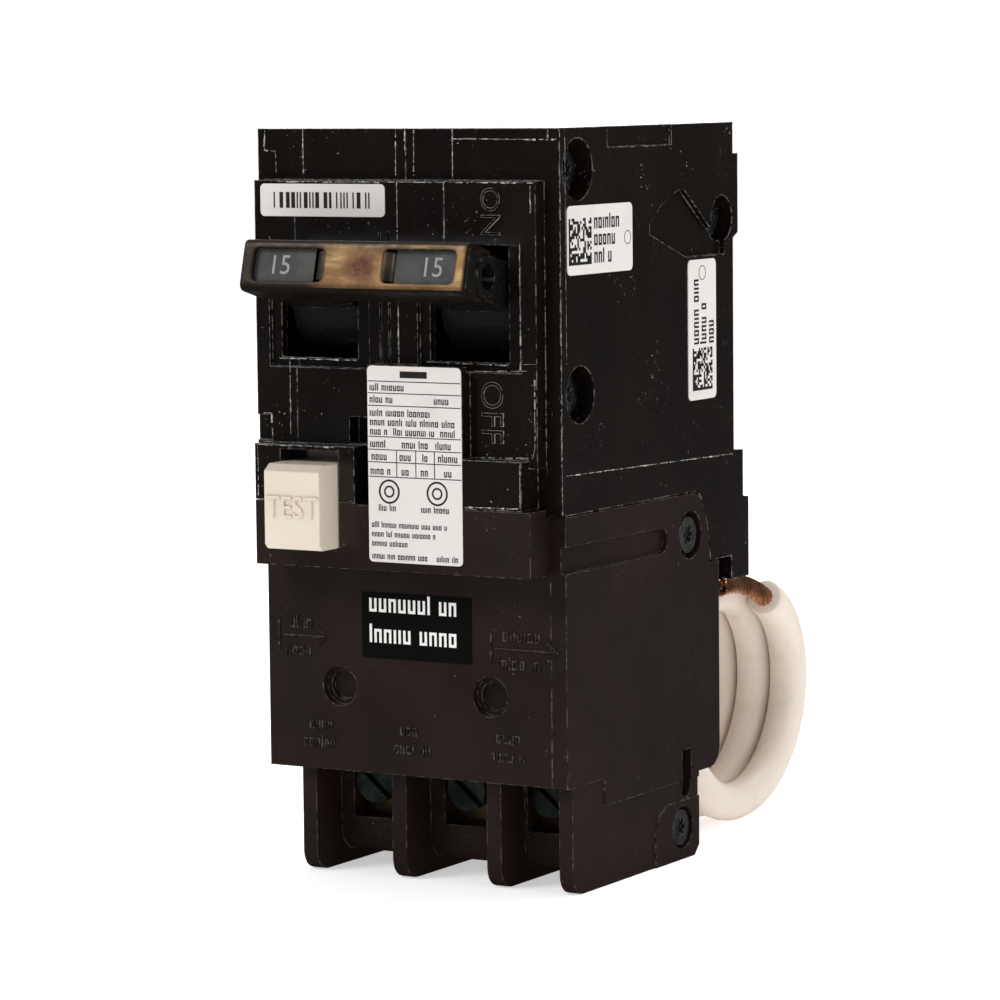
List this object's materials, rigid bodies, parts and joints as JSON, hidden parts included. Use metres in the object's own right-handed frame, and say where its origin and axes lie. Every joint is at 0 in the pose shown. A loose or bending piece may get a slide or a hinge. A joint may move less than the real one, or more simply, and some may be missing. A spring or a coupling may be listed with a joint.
{
  "type": "gfci breaker",
  "caption": "Plug-on ground-fault circuit breaker with tied handles, test button, load terminals under fins and a coiled neutral pigtail.",
  "frame": {"origin": "centre of the bounding box of the breaker without its pigtail, on the plane of the terminal fins' lower edges", "axes": "+X across the poles to the right seen from the handles, -Y out of the handle face, +Z from the load end to the line end"},
  "size_m": [0.0505, 0.1022, 0.1096],
  "materials": {
    "black_case": "semi-gloss moulded thermoset with scuffed edges",
    "brown_case": "satin moulded thermoset",
    "handle_black": "satin",
    "bronze_steel": "bronze finish worn dark at its edges",
    "cream_plastic": "smooth moulded",
    "screw_steel": "bright plated",
    "zinc_screw": "dull zinc",
    "plated_steel": "plated",
    "copper": "bare copper",
    "bimetal": "bare strip",
    "lug_brass": "dull brass",
    "tan_plastic": "moulded",
    "board_green": "solder mask",
    "sensor_yellow": "taped winding",
    "black_insulation": "wire insulation",
    "red_insulation": "wire insulation",
    "white_insulation": "wire insulation",
    "label_white": "printed label",
    "label_black": "printed label"
  },
  "bodies": {
    "root": {"left_case": "black_case", "left_cover": "black_case", "right_case": "black_case", "right_cover": "black_case", "load_housing": "brown_case", "load_cover": "brown_case", "case_screws": "screw_steel", "test_spring": "screw_steel", "test_contact": "copper", "line_jaw_left": "copper", "line_jaw_right": "copper", "arc_chute_left": "plated_steel", "arc_chute_right": "plated_steel", "bimetal_left": "bimetal", "bimetal_right": "bimetal", "magnet_yoke_left": "plated_steel", "magnet_yoke_right": "plated_steel", "pivot_pins": "screw_steel", "circuit_board": "board_green", "current_sensor": "sensor_yellow", "solenoid_coil": "copper", "lead_left": "black_insulation", "lead_right": "red_insulation", "lead_neutral": "white_insulation", "load_lugs": "lug_brass", "serial_label": "label_white", "rating_label": "label_white", "neutral_label": "label_black", "code_label": "label_white", "strip_label": "label_white", "pigtail_lead": "white_insulation", "pigtail_coil": "white_insulation", "pigtail_strands": "copper"},
    "handles": {"handle_left": "handle_black", "handle_right": "handle_black", "handle_tie": "bronze_steel"},
    "test_button": {"test_button": "cream_plastic"},
    "contact_arm_left": {"contact_arm_left": "copper"},
    "contact_arm_right": {"contact_arm_right": "copper"},
    "latch_lever_left": {"latch_lever_left": "plated_steel"},
    "latch_lever_right": {"latch_lever_right": "plated_steel"},
    "trip_bar": {"trip_bar": "tan_plastic"},
    "solenoid_plunger": {"solenoid_plunger": "screw_steel"},
    "clamp_pad_left": {"clamp_pad_left": "lug_brass"},
    "clamp_screw_left": {"clamp_screw_left": "zinc_screw"},
    "clamp_pad_neutral": {"clamp_pad_neutral": "lug_brass"},
    "clamp_screw_neutral": {"clamp_screw_neutral": "zinc_screw"},
    "clamp_pad_right": {"clamp_pad_right": "lug_brass"},
    "clamp_screw_right": {"clamp_screw_right": "zinc_screw"}
  },
  "joints": [
    {"name": "handle_throw", "type": "hinge", "parent": "root", "child": "handles", "pos_m": [0, -0.01378, 0.0849], "axis": [1, 0, 0], "range_deg": [0, 32]},
    {"name": "test_press", "type": "slide", "parent": "root", "child": "test_button", "axis": [0, 1, 0], "range_m": [0, 0.0022], "stiffness_N_per_m": 250, "deforming": ["test_spring"]},
    {"name": "contact_open_left", "type": "hinge", "parent": "root", "child": "contact_arm_left", "pos_m": [-0.0138, 0.00802, 0.074], "axis": [1, 0, 0], "range_deg": [0, 20]},
    {"name": "contact_open_right", "type": "hinge", "parent": "root", "child": "contact_arm_right", "pos_m": [0.0114, 0.00802, 0.074], "axis": [1, 0, 0], "range_deg": [0, 20]},
    {"name": "plunger_stroke", "type": "slide", "parent": "root", "child": "solenoid_plunger", "axis": [0, 0, 1], "range_m": [0, 0.0018], "stiffness_N_per_m": 250},
    {"name": "trip_bar_turn", "type": "hinge", "parent": "root", "child": "trip_bar", "pos_m": [0, 0.01602, 0.062], "axis": [1, 0, 0], "range_deg": [-12.1, 0]},
    {"name": "latch_drop_left", "type": "hinge", "parent": "root", "child": "latch_lever_left", "pos_m": [-0.0138, -0.00198, 0.064], "axis": [1, 0, 0], "range_deg": [-10, 0]},
    {"name": "latch_drop_right", "type": "hinge", "parent": "root", "child": "latch_lever_right", "pos_m": [0.0114, -0.00198, 0.064], "axis": [1, 0, 0], "range_deg": [-10, 0]},
    {"name": "clamp_turn_left", "type": "hinge", "parent": "clamp_pad_left", "child": "clamp_screw_left", "pos_m": [-0.0118, -0.00838, 0.0131], "axis": [0, 1, 0], "range_deg": [0, 1135]},
    {"name": "clamp_advance_left", "type": "slide", "parent": "root", "child": "clamp_pad_left", "axis": [0, 1, 0], "range_m": [0, 0.0025]},
    {"name": "clamp_turn_neutral", "type": "hinge", "parent": "clamp_pad_neutral", "child": "clamp_screw_neutral", "pos_m": [0.0039, -0.00838, 0.0131], "axis": [0, 1, 0], "range_deg": [0, 1135]},
    {"name": "clamp_advance_neutral", "type": "slide", "parent": "root", "child": "clamp_pad_neutral", "axis": [0, 1, 0], "range_m": [0, 0.0025]},
    {"name": "clamp_turn_right", "type": "hinge", "parent": "clamp_pad_right", "child": "clamp_screw_right", "pos_m": [0.0179, -0.00838, 0.0131], "axis": [0, 1, 0], "range_deg": [0, 1135]},
    {"name": "clamp_advance_right", "type": "slide", "parent": "root", "child": "clamp_pad_right", "axis": [0, 1, 0], "range_m": [0, 0.0025]}
  ],
  "couplings": [
    {"joint": "contact_open_left", "follows": "handle_throw", "ratio": 0.6},
    {"joint": "contact_open_right", "follows": "handle_throw", "ratio": 0.6},
    {"joint": "trip_bar_turn", "follows": "plunger_stroke", "rad_per_m": -116.36},
    {"joint": "latch_drop_left", "follows": "plunger_stroke", "rad_per_m": -93.09},
    {"joint": "latch_drop_right", "follows": "plunger_stroke", "rad_per_m": -93.09},
    {"joint": "clamp_turn_left", "follows": "clamp_advance_left", "rad_per_m": 7913.3},
    {"joint": "clamp_turn_neutral", "follows": "clamp_advance_neutral", "rad_per_m": 7913.3},
    {"joint": "clamp_turn_right", "follows": "clamp_advance_right", "rad_per_m": 7913.3}
  ]
}
